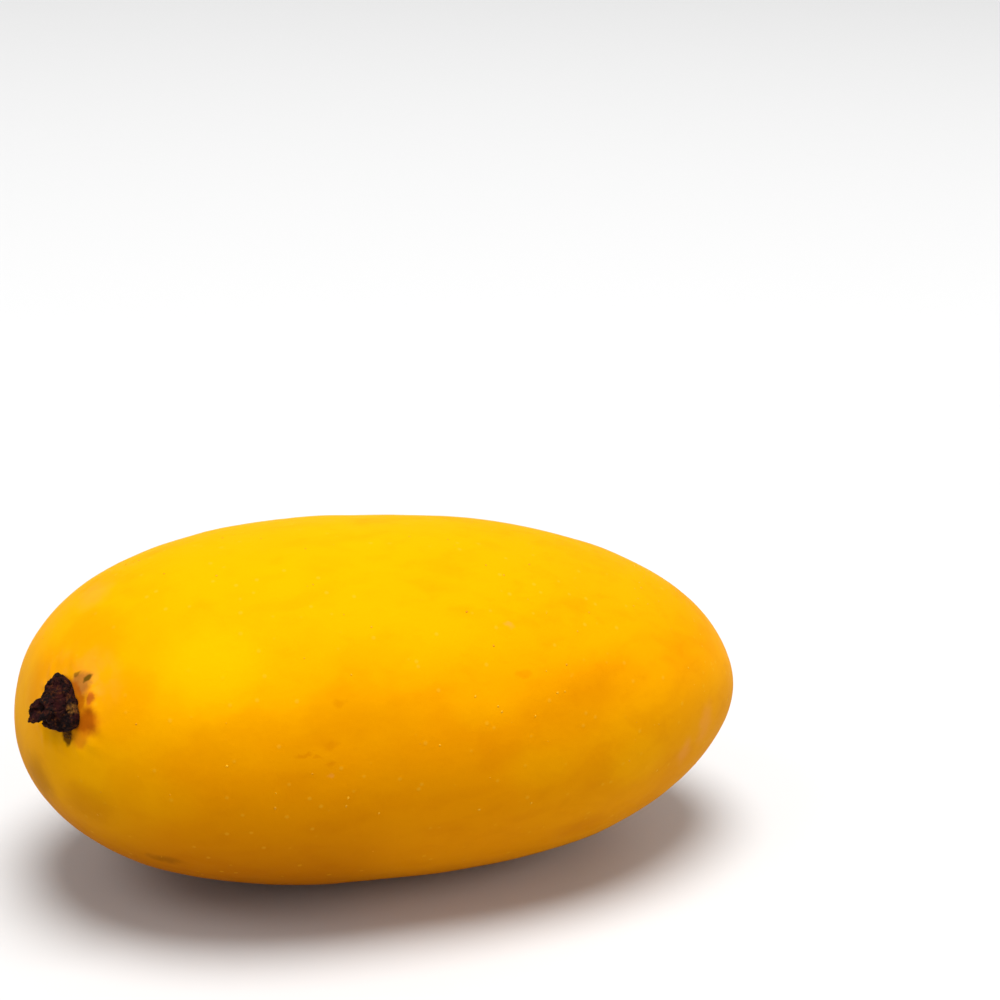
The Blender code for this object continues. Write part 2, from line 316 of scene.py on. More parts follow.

# Marks on the skin, some left by time and handling and some painted light, shade and sheen: where it is
# from the fruit's middle and its half sizes, both in mm, its strength and its colour.
peelMarks = [
    # painted light on the upper stalk's half
    ((-36.1, -24.2, 20.3), (12.0, 11.0, 10.0), 0.80, "paintedLight"),
    ((37.7, -28.8, -2.8), (9.0, 8.0, 7.0), 0.40, "golden"),
    ((7.6, -31.8, 12.4), (8.0, 8.0, 5.0), 0.45, "golden"),
    ((17.4, -33.9, 1.5), (9.0, 8.0, 6.0), 0.30, "golden"),
    ((-44.6, -29.3, 0.1), (9.0, 9.0, 7.0), 0.25, "golden"),
    ((-61.6, -9.0, 13.0), (6.0, 9.0, 12.0), 0.75, "orange"),
    # painted shade: ochre low on the stalk's end
    ((-55.4, -20.9, -4.1), (7.0, 7.0, 6.0), 0.35, "ochre"),
    ((-9.0, -32.5, 13.5), (7.0, 7.0, 5.0), 0.30, "cloud"),
    ((24.6, -30.3, 9.9), (12.0, 10.0, 8.0), 0.45, "cloud"),
    ((28.5, -27.8, 13.0), (8.0, 8.0, 6.0), 0.35, "cloud"),
    ((34.0, -26.5, 12.5), (8.0, 8.0, 7.0), 0.35, "cloud"),
    ((-24.6, -32.6, 11.3), (9.0, 8.0, 5.0), 0.30, "cloud"),
    ((-34.8, -30.9, 11.0), (9.0, 8.0, 5.0), 0.25, "cloud"),
    ((-16.7, -32.1, 13.9), (8.0, 8.0, 6.5), 0.45, "cloud"),
    ((15.7, -28.7, 15.9), (2.0, 2.0, 1.0), 0.55, "cloud"),
    ((-16.1, -31.1, 15.5), (1.9, 2.0, 0.9), 0.50, "cloud"),
    ((-17.9, -33.9, 9.4), (1.9, 2.0, 1.0), 0.55, "cloud"),
    ((-22.6, -34.0, 7.9), (1.8, 1.5, 0.5), 0.70, "cloud"),
    ((-20.2, -34.3, 7.2), (1.3, 1.5, 0.5), 0.55, "cloud"),
    ((-18.3, -34.6, 6.1), (1.1, 1.5, 0.7), 0.65, "cloud"),
    ((16.0, -32.9, -8.5), (5.0, 5.0, 1.6), 0.25, "cloud"),
    ((1.8, -33.1, -8.6), (6.0, 6.0, 2.2), 0.25, "cloud"),
    ((-18.2, -35.0, 4.3), (0.9, 1.2, 0.6), 0.30, "pink"),
    ((14.9, -22.6, 22.2), (1.3, 1.4, 1.0), 0.35, "pink"),
    ((-50.9, 0.5, 23.8), (5.0, 6.0, 3.5), 0.22, "pink"),
    # painted sheen: two pale pink streaks near the tip
    ((53.2, -19.7, -2.0), (2.6, 5.0, 5.5), 0.35, "pink"),
    ((48.5, -22.7, -5.5), (2.2, 4.0, 4.0), 0.35, "pink"),
    ((27.9, -27.8, -15.0), (9.0, 8.0, 4.0), 0.22, "stain"),
    # painted shade on the lower edge of the stalk's end
    ((-62.2, -10.6, -4.0), (5.0, 6.0, 7.0), 0.34, "bruiseAndEdgeShade"),
    # a brown bruise low on the stalk's half
    ((-43.6, -23.6, -14.4), (4.5, 4.0, 1.8), 0.50, "bruiseAndEdgeShade"),
]

# Sap, scabs and stains round the stalk: how far down and to the tip's side in mm, then as above.
stalkMarks = [
    ((-13.0, -1.0), (12.0, 10.0), 0.50, "orange"),
    ((-4.0, 11.0), (10.0, 8.0), 0.45, "orange"),
    ((0.5, 6.3), (3.3, 3.2), 0.85, "stainEdge"),
    ((3.2, 5.6), (2.4, 2.2), 0.70, "stainEdge"),
    ((0.5, 6.2), (2.7, 2.5), 0.90, "stain"),
    ((-2.4, 4.4), (2.9, 2.2), 0.60, "stainEdge"),
    ((-2.8, 5.1), (1.3, 0.8), 0.65, "stainRed"),
    ((-4.8, 2.5), (2.7, 2.5), 0.75, "scab"),
    ((-5.9, 3.1), (1.0, 0.9), 0.95, "fleck"),
    ((-5.9, 1.1), (0.9, 0.7), 0.60, "fleck"),
    ((3.8, 3.1), (1.9, 1.6), 0.85, "sap"),
]


def peelMaterial():
    material, tree, shader = newMaterial("mangoPeel")
    place = tree.nodes.new("ShaderNodeTexCoord").outputs["Object"]
    xyz = addNode(tree, "ShaderNodeSeparateXYZ", {0: place})
    along = xyz.outputs["X"]
    height = xyz.outputs["Z"]

    # golden on top, orange at half height, ochre underneath (partly deeper skin, partly painted shade),
    # and more even at both ends
    tilted = calculate(tree, "SUBTRACT", height,
                       calculate(tree, "MULTIPLY", along, peelLook["orangeTilt"]))
    stalkEven = fade(tree, along, *peelLook["stalkEndEven"], 0.10, 1.0)
    tipEven = fade(tree, along, *peelLook["tipEndEven"], 1.0, 0.20)
    ripe = fade(tree, tilted, *peelLook["orangeHeights"])
    ripe = calculate(tree, "MULTIPLY", ripe, calculate(tree, "MULTIPLY", stalkEven, tipEven))
    ripe = calculate(tree, "ADD", ripe,
                     fade(tree, along, *peelLook["tipOrange"], 0.0, peelLook["tipOrangeShare"]))
    blotch = cloudy(tree, place, peelLook["blotchSize"], 3.0, 0.55, 0.6)
    blotch = calculate(tree, "MULTIPLY", calculate(tree, "SUBTRACT", blotch, 0.5),
                       peelLook["blotchStrength"])
    ripe = calculate(tree, "ADD", ripe, blotch, True)
    colour = blendColours(tree, ripe, peelLook["golden"], peelLook["orange"])
    lowShare = calculate(tree, "MULTIPLY", fade(tree, height, *peelLook["ochreHeights"]),
                         fade(tree, along, *peelLook["ochreFading"], 1.0, peelLook["ochreAtTip"]))
    colour = blendColours(tree, lowShare, colour, peelLook["ochre"])

    # faint mottling and patches drawn out along the fruit, and pale pores
    drawnOut = addNode(tree, "ShaderNodeVectorMath", {0: place, 1: peelLook["stretch"]},
                       operation="MULTIPLY").outputs[0]
    mottle = cloudy(tree, drawnOut, peelLook["mottleSize"], 4.0, 0.6, 0.3)
    mottleShare = calculate(tree, "MULTIPLY", fade(tree, mottle, *peelLook["mottleEdges"]),
                            fade(tree, along, *peelLook["mottleAlong"], *peelLook["mottleStrengths"]))
    colour = blendColours(tree, mottleShare, colour, peelLook["cloud"], "MULTIPLY")
    patches = cloudy(tree, drawnOut, peelLook["patchSize"], 2.0, 0.5, 0.4)
    patchShare = fade(tree, patches, *peelLook["patchEdges"], 0.0, peelLook["patchStrength"])
    colour = blendColours(tree, patchShare, colour, peelLook["cloud"], "MULTIPLY")
    pores = dots(tree, place, peelLook["dotSpacing"])
    dotShare = fade(tree, pores, *peelLook["dotEdges"], 0.0, peelLook["dotStrength"])
    colour = blendColours(tree, dotShare, colour, peelLook["paleDot"])

    # marks, with uneven edges
    bent = wobbled(tree, place, peelLook["wobbleSize"], peelLook["wobble"])
    for centre, sizes, strength, name in peelMarks:
        spot = softMark(tree, bent, mangoShape["middle"] + Vector(centre) * mm, Vector(sizes) * mm)
        way = "MULTIPLY" if name == "cloud" else "MIX"
        colour = blendColours(tree, calculate(tree, "MULTIPLY", spot, strength), colour,
                              peelLook[name], way)

    # a pale, slightly pink haze round the stalk, which is painted sheen, then the stains, and a brown rim
    # under the button
    byStalk = seenFromStalk(tree, bent)
    reach = peelLook["hazeRadius"]
    haze = softMark(tree, byStalk, peelLook["hazePlace"], (reach, reach, 1.3 * reach), 0.4)
    patchy = cloudy(tree, place, peelLook["hazePatches"], 3.0, 0.6, 0.5)
    patchy = fade(tree, patchy, *peelLook["hazeEdges"], *peelLook["hazeStrengths"])
    colour = blendColours(tree, calculate(tree, "MULTIPLY", haze, patchy), colour, peelLook["haze"])
    for (down, side), (tall, wide), strength, name in stalkMarks:
        spot = softMark(tree, byStalk, Vector((down, side, 0.0)) * mm,
                        Vector((tall, wide, peelLook["markDepth"])) * mm, 0.5)
        colour = blendColours(tree, calculate(tree, "MULTIPLY", spot, strength), colour, peelLook[name])
    rim = softMark(tree, byStalk, peelLook["rimPlace"], peelLook["rimSizes"], 0.8)
    rimShare = calculate(tree, "MULTIPLY", rim, peelLook["rimStrength"])
    colour = blendColours(tree, rimShare, colour, peelLook["stain"])
    tree.links.new(colour, shader.inputs["Base Color"])

    rough = calculate(tree, "ADD", calculate(tree, "MULTIPLY", mottle, 0.10),
                      peelLook["roughness"] - 0.05)
    rough = calculate(tree, "ADD", rough, calculate(tree, "MULTIPLY", rim, 0.25))
    tree.links.new(rough, shader.inputs["Roughness"])

    # orange-peel pores and finer grain
    grain = cloudy(tree, place, peelLook["poreSize"], 2.0, 0.5)
    fine = cloudy(tree, place, peelLook["grainSize"], 2.0, 0.6)
    normal = bumpFrom(tree, grain, peelLook["poreDepth"])
    normal = bumpFrom(tree, fine, peelLook["grainDepth"], 1.0, normal)
    raisedDots = fade(tree, pores, *peelLook["dotBumpEdges"])
    normal = bumpFrom(tree, raisedDots, peelLook["dotHeight"], 1.0, normal)
    tree.links.new(normal, shader.inputs["Normal"])
    shader.inputs["Specular IOR Level"].default_value = peelLook["specular"]
    shader.inputs["Specular Tint"].default_value = peelLook["specularTint"]
    return material


speckLook = {
    "pale": screenColour(228, 162, 14),
    "dark": screenColour(214, 142, 6),
    "mixSize": 6.0 * mm,                             # how far apart paler and darker specks lie
    "mixEdges": (0.44, 0.60),
    "grainSize": 0.2 * mm,
    "grainDepth": 0.02 * mm,
    "roughness": 0.7,
    "specular": 0.2,
}


def speckMaterial():
    material, tree, shader = newMaterial("corkSpeck")
    place = tree.nodes.new("ShaderNodeTexCoord").outputs["Object"]
    mixed = cloudy(tree, place, speckLook["mixSize"], 2.0, 0.5)
    colour = blendColours(tree, fade(tree, mixed, *speckLook["mixEdges"]), speckLook["pale"],
                          speckLook["dark"])
    tree.links.new(colour, shader.inputs["Base Color"])
    grain = cloudy(tree, place, speckLook["grainSize"])
    tree.links.new(bumpFrom(tree, grain, speckLook["grainDepth"]), shader.inputs["Normal"])
    shader.inputs["Roughness"].default_value = speckLook["roughness"]
    shader.inputs["Specular IOR Level"].default_value = speckLook["specular"]
    return material


barkLook = {
    "black": screenColour(12, 2, 3),
    "wine": screenColour(44, 10, 10),
    "brown": screenColour(84, 42, 10),
    "tan": screenColour(138, 94, 34),
    "patchPlace": (-0.8 * mm, 3.9 * mm, 1.4 * mm),   # of the corky patch, in the stalk's frame
    "patchSizes": (1.2 * mm, 1.0 * mm, 4.0 * mm),
    "patchEdges": (0.40, 0.60),
    "patchStrengths": (0.15, 0.75),
    "barkSize": 1.6 * mm,
    "wineEdges": (0.42, 0.66),                       # the noise values where it starts and is whole
    "crumbSize": 0.5 * mm,
    "crumbDepth": 0.12 * mm,
    "brownEdges": (0.48, 0.64),
    "raisedEdges": (0.3, 0.7),                       # brown shows only where the bark stands up
    "brownStrength": 0.7,
    "grainSize": 0.15 * mm,
    "grainDepth": 0.04 * mm,
    "roughness": 0.82,
    "specular": 0.10,
}


def barkMaterial():
    material, tree, shader = newMaterial("driedStalk")
    place = tree.nodes.new("ShaderNodeTexCoord").outputs["Object"]
    raised = addNode(tree, "ShaderNodeAttribute", attribute_name="raised",
                     attribute_type="GEOMETRY").outputs["Fac"]
    patches = cloudy(tree, place, barkLook["barkSize"], 4.0, 0.6, 0.4)
    crumbs = cloudy(tree, place, barkLook["crumbSize"], 4.0, 0.65)
    wineShare = fade(tree, patches, *barkLook["wineEdges"])
    colour = blendColours(tree, wineShare, barkLook["black"], barkLook["wine"])
    brownShare = calculate(tree, "MULTIPLY", fade(tree, crumbs, *barkLook["brownEdges"]),
                           fade(tree, raised, *barkLook["raisedEdges"]))
    brownShare = calculate(tree, "MULTIPLY", brownShare, barkLook["brownStrength"])
    colour = blendColours(tree, brownShare, colour, barkLook["brown"])
    # a lighter, corky patch on the button, on the side of the tip
    corky = softMark(tree, seenFromStalk(tree, place), barkLook["patchPlace"], barkLook["patchSizes"])
    corky = calculate(tree, "MULTIPLY", corky,
                      fade(tree, crumbs, *barkLook["patchEdges"], *barkLook["patchStrengths"]))
    colour = blendColours(tree, corky, colour, barkLook["tan"])
    tree.links.new(colour, shader.inputs["Base Color"])
    normal = bumpFrom(tree, crumbs, barkLook["crumbDepth"])
    grain = cloudy(tree, place, barkLook["grainSize"], 2.0)
    normal = bumpFrom(tree, grain, barkLook["grainDepth"], 1.0, normal)
    tree.links.new(normal, shader.inputs["Normal"])
    rough = calculate(tree, "ADD", calculate(tree, "MULTIPLY", patches, 0.2), barkLook["roughness"] - 0.1)
    tree.links.new(rough, shader.inputs["Roughness"])
    shader.inputs["Specular IOR Level"].default_value = barkLook["specular"]
    return material


sapLook = {
    "dark": screenColour(52, 24, 8),
    "light": screenColour(112, 74, 22),
    "mixSize": 0.6 * mm,
    "mixEdges": (0.42, 0.60),
    "mixDepth": 0.1 * mm,
    "roughness": 0.7,
    "specular": 0.05,
}


def sapMaterial():
    material, tree, shader = newMaterial("driedSap")
    place = tree.nodes.new("ShaderNodeTexCoord").outputs["Object"]
    mixed = cloudy(tree, place, sapLook["mixSize"], 3.0, 0.6)
    colour = blendColours(tree, fade(tree, mixed, *sapLook["mixEdges"]), sapLook["dark"],
                          sapLook["light"])
    tree.links.new(colour, shader.inputs["Base Color"])
    tree.links.new(bumpFrom(tree, mixed, sapLook["mixDepth"]), shader.inputs["Normal"])
    shader.inputs["Roughness"].default_value = sapLook["roughness"]
    shader.inputs["Specular IOR Level"].default_value = sapLook["specular"]
    return material


peel = peelMaterial()
speck = speckMaterial()
bark = barkMaterial()
sap = sapMaterial()
print("materials made")


# Geometry Nodes: short helpers that all the trees use.

def newTree(name, inputs):
    # a Geometry Nodes tree with a geometry input, these named inputs and a geometry output
    tree = bpy.data.node_groups.new(name, "GeometryNodeTree")
    tree.interface.new_socket(name="Geometry", in_out="INPUT", socket_type="NodeSocketGeometry")
    for label, kind in inputs:
        tree.interface.new_socket(name=label, in_out="INPUT", socket_type=kind)
    tree.interface.new_socket(name="Geometry", in_out="OUTPUT", socket_type="NodeSocketGeometry")
    return tree, tree.nodes.new("NodeGroupInput").outputs, tree.nodes.new("NodeGroupOutput").inputs


def meshFromTree(host, tree, values, name):
    # runs the tree on the host with these inputs, and gives the result as a plain mesh object
    modifier = host.modifiers.new(tree.name, "NODES")
    modifier.node_group = tree
    for item in tree.interface.items_tree:
        if item.item_type == "SOCKET" and item.in_out == "INPUT" and item.name in values:
            modifier[item.identifier] = values[item.name]
    bpy.context.view_layer.update()
    evaluated = host.evaluated_get(bpy.context.evaluated_depsgraph_get())
    mesh = bpy.data.meshes.new_from_object(evaluated)
    mesh.name = name
    host.modifiers.remove(modifier)
    made = bpy.data.objects.new(name, mesh)
    bpy.context.scene.collection.objects.link(made)
    return made


def objectFrom(mesh, name):
    made = bpy.data.objects.new(name, mesh)
    bpy.context.scene.collection.objects.link(made)
    return made


def smoothShaded(mesh):
    for polygon in mesh.polygons:
        polygon.use_smooth = True
    mesh.update()


# The sizes of the stalk, which both the skin round it and the stalk itself follow.

stalkSizes = {
    "sides": 200,
    "rings": 150,
    "base": -0.8 * mm,              # where the button's underside lies, below the skin at the stalk
    "buttonRadius": 4.2 * mm,
    "buttonHeight": 2.4 * mm,
    "stubRadius": 1.95 * mm,
    "stubHeight": 4.7 * mm,
    "stubHollow": 0.8 * mm,
    "leanDown": 2.6 * mm,
    "leanSide": -1.2 * mm,
    "breakSlant": 0.22,
    "lobes": ((1, 0.070, -1.74), (2, 0.120, -1.37), (3, 0.115, 2.25), (5, 0.040, 0.76),
              (8, 0.025, 2.1), (13, 0.015, 4.0)),
    "ridges": ((3, 0.070, 1.0), (7, 0.050, 2.5)),
    "furrows": ((9, 0.20 * mm, 1.3),),
    "teeth": ((4, 0.28 * mm, 0.8),),
    "crumbHeight": 0.34 * mm,
    "crumbSize": 1.1 * mm,
    "crackWidth": 0.16,
    "crackDepth": 3.0,
    "crackShift": Vector((7.3, 1.9, 4.4)),   # so that the cracks don't follow the lumps
}


def waves(terms, turn):
    return sum(height * math.cos(count * turn + start) for count, height, start in terms)


# The skin: the form's rule on a fine grid whose first pole is under the stalk.

skinSizes = {
    "segments": 320,
    "rings": 290,
    "crowding": 0.50,               # how much the rings draw together at the stalk
    "pitRadius": 3.3 * mm,
    "pitEdge": 0.7 * mm,
    "pitDepth": 0.74 * mm,
    "collarHeight": 0.22 * mm,
    "collarRadius": 6.9 * mm,
    "collarWidth": 1.4 * mm,
    "collarUnevenness": 0.35,
    "calmReach": (8.0 * mm, 16.0 * mm),   # the waves start and are whole at these distances
    "puckerHeight": 0.07 * mm,
    "puckers": 17,
    "waveHeight": 0.42 * mm,
    "waveSize": 24.0 * mm,
    "dentHeight": 0.10 * mm,
    "dentSize": 7.0 * mm,
    "restSoftness": 0.22 * mm,
    "stalkSideDepth": 12.0 * mm,    # the relief round the stalk reaches down to this depth below it
}


def stalkRelief(local):
    # how far the skin rises or sinks near the stalk, and how near it is, from 0 to 1
    turn = math.atan2(local.y, local.x)
    reach = math.hypot(local.x, local.y) / (1.0 + waves(stalkSizes["lobes"], turn))
    pit = smoothStep(reach, skinSizes["pitRadius"], skinSizes["pitRadius"] + skinSizes["pitEdge"])
    pit = skinSizes["pitDepth"] * (pit - 1.0)
    away = (reach - skinSizes["collarRadius"]) / skinSizes["collarWidth"]
    ridge = math.exp(-away * away)
    uneven = 1.0 + skinSizes["collarUnevenness"] * math.cos(3.0 * turn + 1.0)
    collar = skinSizes["collarHeight"] * ridge * uneven
    pucker = skinSizes["puckerHeight"] * ridge * math.cos(skinSizes["puckers"] * turn)
    return pit + collar + pucker, 1.0 - smoothStep(reach, *skinSizes["calmReach"])


def makeSkinMesh():
    bm = bmesh.new()
    calm = bm.verts.layers.float.new("calm")
    turning = Vector((0.0, 0.0, 1.0)).rotation_difference(stalkDirection())
    outward = stalkPlace.to_3x3() @ Vector((0.0, 0.0, 1.0))
    intoStalk = stalkPlace.inverted()
    rows = []
    for ring in range(skinSizes["rings"] + 1):
        polar = math.pi * ring / skinSizes["rings"]
        polar -= skinSizes["crowding"] * math.sin(polar)
        row = []
        count = 1 if ring in (0, skinSizes["rings"]) else skinSizes["segments"]
        for segment in range(count):
            turn = 2.0 * math.pi * segment / skinSizes["segments"]
            facing = Vector((math.sin(polar) * math.cos(turn), math.sin(polar) * math.sin(turn),
                             math.cos(polar)))
            point = skinPoint(turning @ facing)
            local = intoStalk @ point
            nearness = (point - skinPoint(stalkDirection())).length / mangoShape["nubRadius"]
            nub = mangoShape["nubHeight"] * math.exp(-nearness * nearness)
            rise = 0.0
            share = 0.0
            if local.z > -skinSizes["stalkSideDepth"]:
                rise, share = stalkRelief(local)
            point = point + outward * (nub + rise)
            made = bm.verts.new(point)
            made[calm] = share
            row.append(made)
        rows.append(row)
    for upper, lower in zip(rows, rows[1:]):
        for segment in range(skinSizes["segments"]):
            after = (segment + 1) % skinSizes["segments"]
            if len(upper) == 1:
                bm.faces.new((upper[0], lower[segment], lower[after]))
            elif len(lower) == 1:
                bm.faces.new((upper[segment], lower[0], upper[after]))
            else:
                bm.faces.new((upper[segment], lower[segment], lower[after], upper[after]))
    bmesh.ops.recalc_face_normals(bm, faces=bm.faces)
    mesh = bpy.data.meshes.new("skinGrid")
    bm.to_mesh(mesh)
    bm.free()
    return mesh


def makeReliefTree():
    # soft waves and dents along the normal, fading at the stalk, then the flat spot that it lies on
    tree, given, result = newTree("skinRelief", [
        ("Wave Height", "NodeSocketFloat"), ("Wave Size", "NodeSocketFloat"),
        ("Dent Height", "NodeSocketFloat"), ("Dent Size", "NodeSocketFloat"),
        ("Rest Softness", "NodeSocketFloat"), ("Peel", "NodeSocketMaterial")])
    place = tree.nodes.new("GeometryNodeInputPosition").outputs[0]
    normal = tree.nodes.new("GeometryNodeInputNormal").outputs[0]
    calm = addNode(tree, "GeometryNodeInputNamedAttribute", {"Name": "calm"}, data_type="FLOAT").outputs[0]
    total = None
    for label, detail in (("Wave", 1.0), ("Dent", 2.0)):
        scale = calculate(tree, "DIVIDE", 1.0, given[label + " Size"])
        lumps = addNode(tree, "ShaderNodeTexNoise", {"Vector": place, "Scale": scale, "Detail": detail})
        height = calculate(tree, "MULTIPLY", calculate(tree, "SUBTRACT", lumps.outputs[0], 0.5),
                           given[label + " Height"])
        height = calculate(tree, "MULTIPLY", height, 2.0)
        total = height if total is None else calculate(tree, "ADD", total, height)
    total = calculate(tree, "MULTIPLY", total, calculate(tree, "SUBTRACT", 1.0, calm))
    offset = addNode(tree, "ShaderNodeVectorMath", {0: normal, "Scale": total}, operation="SCALE")
    waved = addNode(tree, "GeometryNodeSetPosition", {"Geometry": given["Geometry"],
                                                      "Offset": offset.outputs[0]})
    # height becomes (z + sqrt(z * z + softness * softness)) / 2, which is flat below and free above
    after = addNode(tree, "ShaderNodeSeparateXYZ", {0: place})
    square = calculate(tree, "MULTIPLY", after.outputs[2], after.outputs[2])
    soft = calculate(tree, "MULTIPLY", given["Rest Softness"], given["Rest Softness"])
    root = calculate(tree, "SQRT", calculate(tree, "ADD", square, soft))
    level = calculate(tree, "MULTIPLY", calculate(tree, "ADD", after.outputs[2], root), 0.5)
    spot = addNode(tree, "ShaderNodeCombineXYZ", {0: after.outputs[0], 1: after.outputs[1], 2: level})
    rested = addNode(tree, "GeometryNodeSetPosition", {"Geometry": waved.outputs[0],
                                                       "Position": spot.outputs[0]})
    whole = addNode(tree, "GeometryNodeRealizeInstances", {"Geometry": rested.outputs[0]})
    dressed = addNode(tree, "GeometryNodeSetMaterial", {"Geometry": whole.outputs[0],
                                                        "Material": given["Peel"]})
    tree.links.new(dressed.outputs[0], result["Geometry"])
    return tree


def makeSkin():
    grid = objectFrom(makeSkinMesh(), "skinGrid")
    skin = meshFromTree(grid, makeReliefTree(), {
        "Wave Height": skinSizes["waveHeight"], "Wave Size": skinSizes["waveSize"],
        "Dent Height": skinSizes["dentHeight"], "Dent Size": skinSizes["dentSize"],
        "Rest Softness": skinSizes["restSoftness"], "Peel": peel}, "mangoSkin")
    bpy.data.objects.remove(grid)
    smoothShaded(skin.data)
    return skin


skin = makeSkin()
print("skin made,", len(skin.data.polygons), "faces")


# The dried stalk: a lobed woody button with a broken, ridged stub.

def stalkProfile():
    # radius and height above the button's underside, from the stub's hollow end to the underside
    stub = stalkSizes["stubRadius"]
    top = stalkSizes["stubHeight"]
    hollow = stalkSizes["stubHollow"]
    foot = stalkSizes["buttonHeight"]
    button = stalkSizes["buttonRadius"]
    return [
        (0.0, top - hollow), (0.42 * stub, top - 0.8 * hollow), (0.72 * stub, top - 0.1 * hollow),
        (0.92 * stub, top), (1.06 * stub, top - 0.5 * mm), (1.00 * stub, top - 1.2 * mm),
        (1.06 * stub, foot + 0.9 * mm), (1.40 * stub, foot + 0.3 * mm),
        (0.70 * button, foot), (0.86 * button, foot - 0.05 * mm), (0.97 * button, foot - 0.5 * mm),
        (button, foot - 1.2 * mm), (0.97 * button, 0.5 * mm), (0.90 * button, 0.0),
        (0.45 * button, 0.0), (0.0, 0.0)]


def evenlySpaced(points, count):
    # the profile as count + 1 points, the same distance apart along it
    lengths = [0.0]
    for before, after in zip(points, points[1:]):
        lengths.append(lengths[-1] + math.dist(before, after))
    spaced = []
    part = 0
    for step in range(count + 1):
        wanted = lengths[-1] * step / count
        while part < len(points) - 2 and lengths[part + 1] < wanted:
            part += 1
        share = (wanted - lengths[part]) / (lengths[part + 1] - lengths[part])
        spaced.append(tuple(a + (b - a) * share for a, b in zip(points[part], points[part + 1])))
    return spaced


def weathered(radius, height, turn):
    # lobes on the button, ridges on the stub, its lean and its ragged break
    x = radius * math.cos(turn)
    y = radius * math.sin(turn)
    stub = stalkSizes["stubRadius"]
    foot = stalkSizes["buttonHeight"]
    top = stalkSizes["stubHeight"]
    onButton = smoothStep(radius, 1.2 * stub, 0.9 * stalkSizes["buttonRadius"])
    onStub = smoothStep(height, foot, foot + 1.0 * mm)
    scale = 1.0 + waves(stalkSizes["lobes"], turn) * onButton + waves(stalkSizes["ridges"], turn) * onStub
    furrow = waves(stalkSizes["furrows"], turn) * onButton * smoothStep(height, 0.5 * foot, foot)
    bend = smoothStep(height, foot - 0.5 * mm, top + 2.0 * mm)
    ragged = stalkSizes["breakSlant"] * x + waves(stalkSizes["teeth"], turn) * radius / stub
    ragged *= smoothStep(height, top - 2.0 * mm, top - 0.5 * mm)
    return Vector((x * scale + stalkSizes["leanDown"] * bend,
                   y * scale + stalkSizes["leanSide"] * bend,
                   height + furrow + ragged))


def makeStalk():
    bm = bmesh.new()
    raised = bm.verts.layers.float.new("raised")
    profile = evenlySpaced(stalkProfile(), stalkSizes["rings"])
    rows = []
    for radius, height in profile:
        if radius < 1e-9:
            rows.append([bm.verts.new(weathered(0.0, height, 0.0))])
            continue
        rows.append([bm.verts.new(weathered(radius, height, 2.0 * math.pi * side / stalkSizes["sides"]))
                     for side in range(stalkSizes["sides"])])
    for upper, lower in zip(rows, rows[1:]):
        for side in range(stalkSizes["sides"]):
            after = (side + 1) % stalkSizes["sides"]
            if len(upper) == 1:
                bm.faces.new((upper[0], lower[side], lower[after]))
            elif len(lower) == 1:
                bm.faces.new((upper[side], lower[0], upper[after]))
            else:
                bm.faces.new((upper[side], lower[side], lower[after], upper[after]))
    bmesh.ops.recalc_face_normals(bm, faces=bm.faces)
    bm.normal_update()
    # crumbly bark: lumps and cracks along the normal, none on the underside
    moved = []
    for vert in bm.verts:
        point = vert.co
        place = point / stalkSizes["crumbSize"]
        lumps = noise.fractal(place, 0.7, 2.1, 4)        # its roughness, step in size and octaves
        cracks = abs(noise.noise(place * 0.9 + stalkSizes["crackShift"]))
        rough = lumps * 0.5 - max(0.0, stalkSizes["crackWidth"] - cracks) * stalkSizes["crackDepth"]
        free = smoothStep(point.z, 0.1 * mm, 0.9 * mm)
        vert[raised] = min(max(0.5 + lumps * 0.6, 0.0), 1.0)
        moved.append(point + vert.normal * rough * stalkSizes["crumbHeight"] * free)
    for vert, point in zip(bm.verts, moved):
        vert.co = point
    mesh = bpy.data.meshes.new("stalkStub")
    bm.to_mesh(mesh)
    bm.free()
    mesh.transform(stalkPlace @ Matrix.Translation((0.0, 0.0, stalkSizes["base"])))
    mesh.materials.append(bark)
    smoothShaded(mesh)
    return objectFrom(mesh, "stalkStub")


stalk = makeStalk()
print("stalk made,", len(stalk.data.polygons), "faces")


# Specks and scabs on the skin and crumbs on the stalk, scattered by one tree.

scatterSizes = {
    "specks": {"Density": 20000.0, "Smallest": 0.09 * mm, "Largest": 0.24 * mm, "Flatness": 0.16,
               "Raggedness": 0.0, "Seed": 11},
    "scabs": {"Density": 16000000.0, "Smallest": 0.12 * mm, "Largest": 0.34 * mm, "Flatness": 0.7,
              "Raggedness": 0.20 * mm, "Seed": 2},
    "crumbs": {"Density": 1900000.0, "Smallest": 0.10 * mm, "Largest": 0.32 * mm, "Flatness": 0.65,
               "Raggedness": 0.16 * mm, "Seed": 5},
}

# The form of all the grains, and where they lie: each pair is the distance at which they start and
# the one at which they are as many as they get.
grainForm = {"shortest": 0.7, "longest": 1.5, "lumpSize": 0.35 * mm}
grainReach = {
    "specksAlong": (-30.0 * mm, 50.0 * mm),
    "specksAtStalkEnd": 0.35,                        # as a share of those at the tip
    "specksAboveTable": (1.5 * mm, 3.0 * mm),
    "specksFromStalk": (10.0 * mm, 16.0 * mm),
    "crumbsUp": (0.3 * mm, 0.8 * mm),
    "crumbsOut": (2.4 * mm, 3.4 * mm),
    "crumbsOnStub": 0.15,
    "sapDepth": 5.0 * mm,                            # no sap on the skin on the fruit's far side
}

# Dried sap: how far down from the stalk and to the tip's side it lies, and its radius, in mm.
scabSpots = [(3.2, 2.7, 0.9), (3.8, 3.1, 0.8)]


